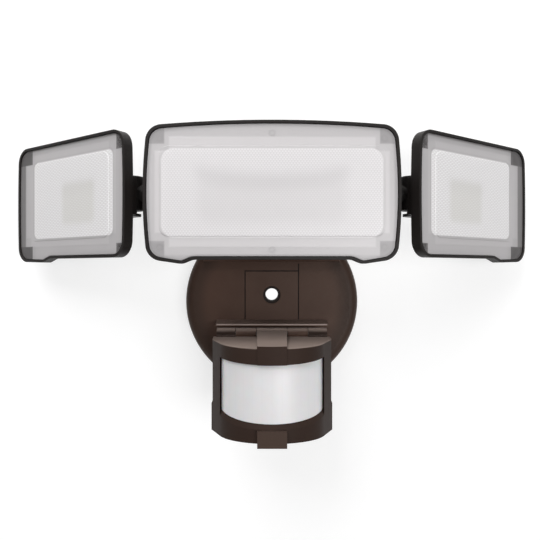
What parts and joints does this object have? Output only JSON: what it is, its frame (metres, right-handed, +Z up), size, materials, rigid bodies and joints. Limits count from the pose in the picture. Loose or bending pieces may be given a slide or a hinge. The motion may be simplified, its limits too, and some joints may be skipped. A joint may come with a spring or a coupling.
{
  "type": "motion sensor security light",
  "caption": "Wall-mounted security light: round canopy, wide middle lamp head on a tilt hinge, a side head on each two-way knuckle, and a hinged motion sensor below.",
  "frame": {"origin": "centre of the round canopy's back, where it meets the wall", "axes": "+X towards the viewer's right, +Y into the wall, +Z up; the light faces -Y"},
  "size_m": [0.3478, 0.091, 0.1857],
  "materials": {
    "bronze_coat": "fine-textured dark bronze powder coat",
    "charcoal_coat": "fine-textured charcoal powder coat",
    "sensor_plastic": "satin dark bronze moulding",
    "clear_cover": "clear cover, dimpled inside the window",
    "sensor_lens": "milky white film over a moulded lens",
    "white_reflector": "bright white moulding",
    "white_board": "white solder mask",
    "led": "yellow phosphor",
    "rubber": "soft black rubber",
    "grey_silicone": "pale grey silicone",
    "steel": "zinc plated",
    "dark_steel": "dark oxide",
    "green_board": "green solder mask",
    "component_blue": "blue moulding",
    "can_metal": "bright can",
    "light_cell": "resin over a zigzag cell",
    "knob_plastic": "black moulding"
  },
  "bodies": {
    "wall_base": {"wall_canopy": "bronze_coat", "wall_gasket": "rubber", "tilt_bolt": "dark_steel", "tilt_nut": "dark_steel", "tilt_washers": "dark_steel", "sensor_hinge_pin": "steel"},
    "middle_head": {"middle_housing": "charcoal_coat", "middle_gasket": "grey_silicone", "middle_led_board": "white_board", "middle_led_chips": "led", "middle_reflector": "white_reflector", "middle_lens": "clear_cover", "middle_cover_screws": "steel"},
    "left_swivel": {"left_knuckle": "charcoal_coat", "left_knuckle_nut": "steel", "left_knuckle_seal": "rubber"},
    "right_swivel": {"right_knuckle": "charcoal_coat", "right_knuckle_nut": "steel", "right_knuckle_seal": "rubber"},
    "left_head": {"left_housing": "charcoal_coat", "left_gasket": "grey_silicone", "left_led_board": "white_board", "left_led_chips": "led", "left_reflector": "white_reflector", "left_lens": "clear_cover", "left_cover_screws": "steel", "left_pivot_screw": "dark_steel"},
    "right_head": {"right_housing": "charcoal_coat", "right_gasket": "grey_silicone", "right_led_board": "white_board", "right_led_chips": "led", "right_reflector": "white_reflector", "right_lens": "clear_cover", "right_cover_screws": "steel", "right_pivot_screw": "dark_steel"},
    "sensor_head": {"sensor_frame": "sensor_plastic", "sensor_case": "sensor_plastic", "sensor_case_screws": "steel", "sensor_lens": "sensor_lens", "sensor_board": "green_board", "sensor_board_screws": "steel", "pir_detector": "can_metal", "light_cell": "light_cell", "sensor_relay": "component_blue", "sensor_capacitor": "can_metal", "sensor_potentiometers": "component_blue"},
    "time_dial": {"time_knob": "knob_plastic"},
    "light_level_dial": {"light_level_knob": "knob_plastic"},
    "range_dial": {"range_knob": "knob_plastic"}
  },
  "joints": [
    {"name": "middle_tilt", "type": "hinge", "parent": "wall_base", "child": "middle_head", "pos_m": [0, -0.042, 0.052], "axis": [1, 0, 0], "range_deg": [-25, 35]},
    {"name": "left_tilt", "type": "hinge", "parent": "middle_head", "child": "left_swivel", "pos_m": [-0.084, -0.061, 0.06778], "axis": [1, 0, 0], "range_deg": [-25, 25]},
    {"name": "left_pan", "type": "hinge", "parent": "left_swivel", "child": "left_head", "pos_m": [-0.084, -0.061, 0.06778], "axis": [0, 0, 1], "range_deg": [-8, 32]},
    {"name": "right_tilt", "type": "hinge", "parent": "middle_head", "child": "right_swivel", "pos_m": [0.084, -0.061, 0.06778], "axis": [1, 0, 0], "range_deg": [-25, 25]},
    {"name": "right_pan", "type": "hinge", "parent": "right_swivel", "child": "right_head", "pos_m": [0.084, -0.061, 0.06778], "axis": [0, 0, 1], "range_deg": [-32, 8]},
    {"name": "sensor_tilt", "type": "hinge", "parent": "wall_base", "child": "sensor_head", "pos_m": [0, -0.0315, -0.0206], "axis": [1, 0, 0], "range_deg": [-15, 30]},
    {"name": "time_turn", "type": "hinge", "parent": "sensor_head", "child": "time_dial", "pos_m": [-0.015, -0.066, -0.0716], "axis": [0, 0, 1], "range_deg": [-135, 135]},
    {"name": "light_level_turn", "type": "hinge", "parent": "sensor_head", "child": "light_level_dial", "pos_m": [0, -0.066, -0.0716], "axis": [0, 0, 1], "range_deg": [-135, 135]},
    {"name": "range_turn", "type": "hinge", "parent": "sensor_head", "child": "range_dial", "pos_m": [0.015, -0.066, -0.0716], "axis": [0, 0, 1], "range_deg": [-135, 135]}
  ]
}
